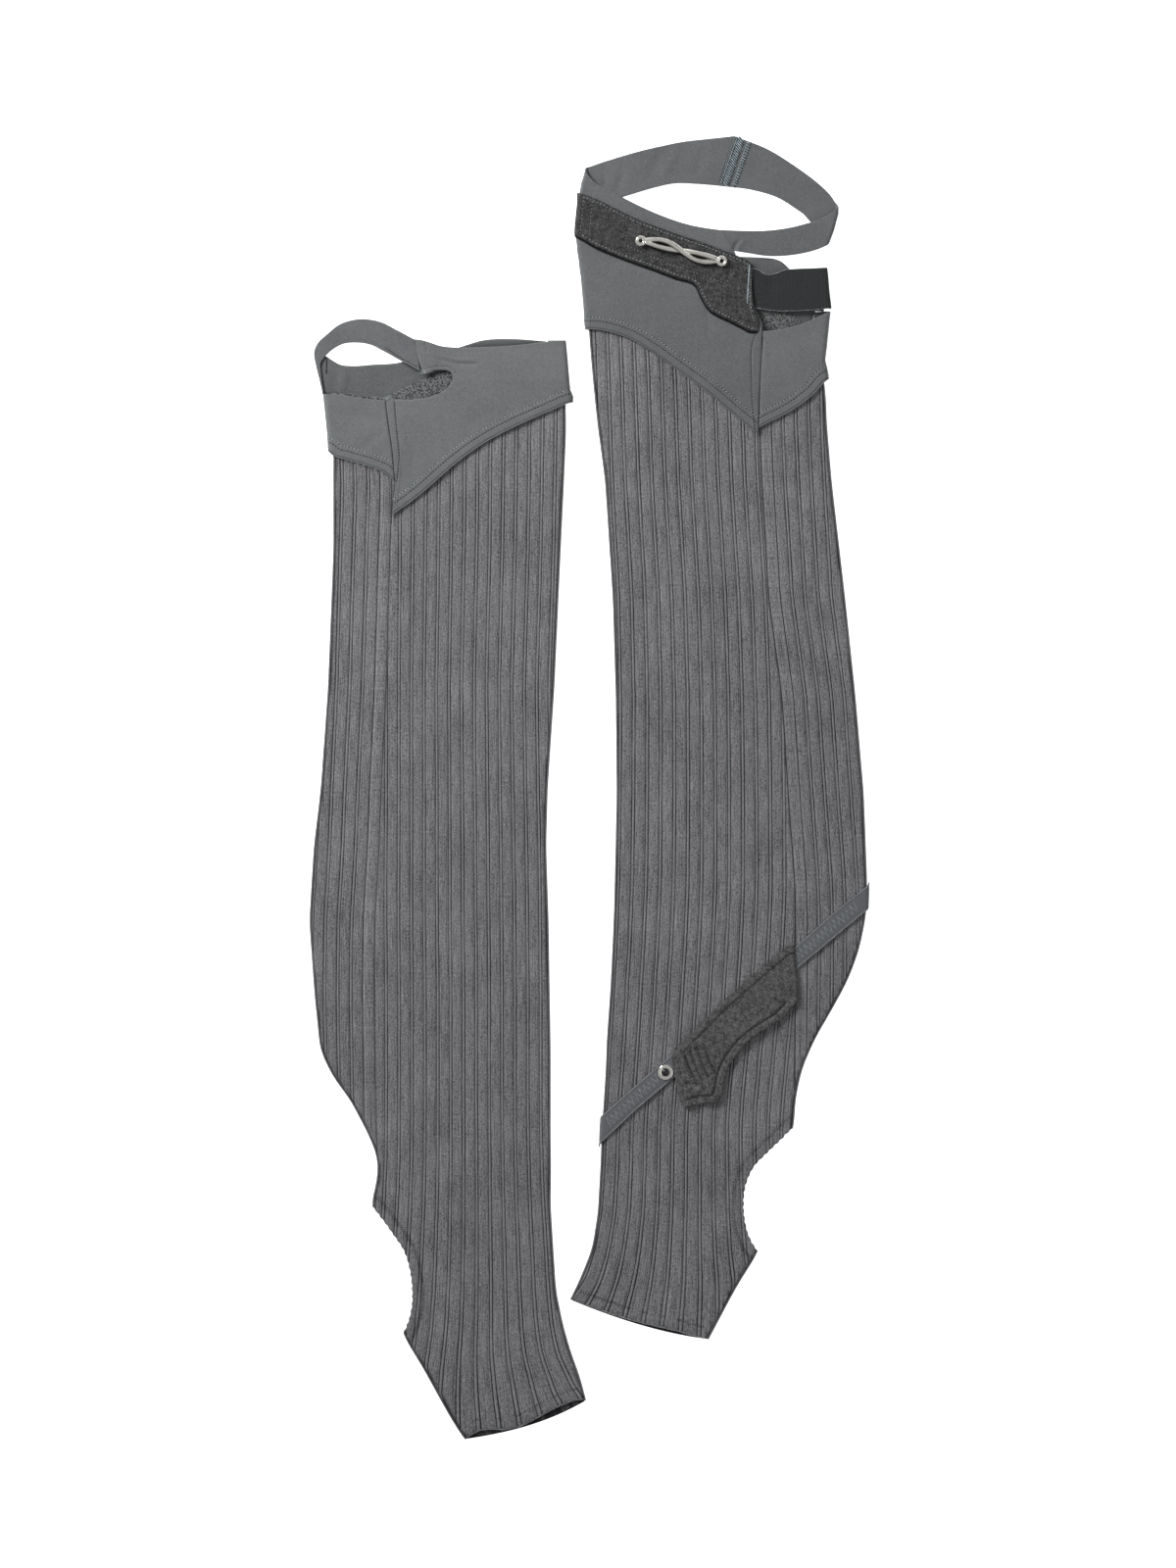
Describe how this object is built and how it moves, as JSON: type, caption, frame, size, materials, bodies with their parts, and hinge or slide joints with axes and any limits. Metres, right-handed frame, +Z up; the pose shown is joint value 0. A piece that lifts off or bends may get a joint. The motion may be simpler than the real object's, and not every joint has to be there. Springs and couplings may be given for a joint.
{
  "type": "pair of leg warmers",
  "caption": "Thigh-high stirrup leg warmers of ribbed knit, laid flat, with pointed jersey yokes, heel openings, a loop strap, a belted ring band and a calf strap.",
  "frame": {"origin": "middle of the pair's outline, on the surface that it lies on", "axes": "+Y towards the tops of the legs, +X to the right seen from above, +Z up from the surface"},
  "size_m": [0.4118, 0.955, 0.0102],
  "materials": {
    "rib_knit": "soft grey marl rib knit",
    "jersey": "smooth matt grey jersey",
    "terry": "looped wrong side of a grey knit",
    "suede": "napped charcoal suede",
    "black_elastic": "woven near-black elastic",
    "grey_elastic": "woven grey elastic with zigzag stitch",
    "silver": "polished cast silver-coloured metal",
    "dark_metal": "dark enamelled snap stud"
  },
  "bodies": {
    "root": {"left_leg_knit": "rib_knit", "left_yoke_front": "jersey", "left_yoke_side": "jersey", "left_yoke_back": "jersey", "left_yoke_facing": "terry", "left_loop_strap": "jersey", "right_leg_knit": "rib_knit", "right_yoke_front": "jersey", "right_yoke_side": "jersey", "right_yoke_back": "jersey", "right_yoke_facing": "terry", "right_ring_front": "jersey", "right_ring_back": "jersey", "right_belt": "suede", "right_belt_bar": "silver", "right_elastic": "black_elastic", "calf_strap_upper": "grey_elastic", "calf_strap_lower": "grey_elastic", "calf_patch": "suede", "calf_snap_washer": "silver", "calf_snap_stud": "dark_metal"}
  },
  "joints": []
}
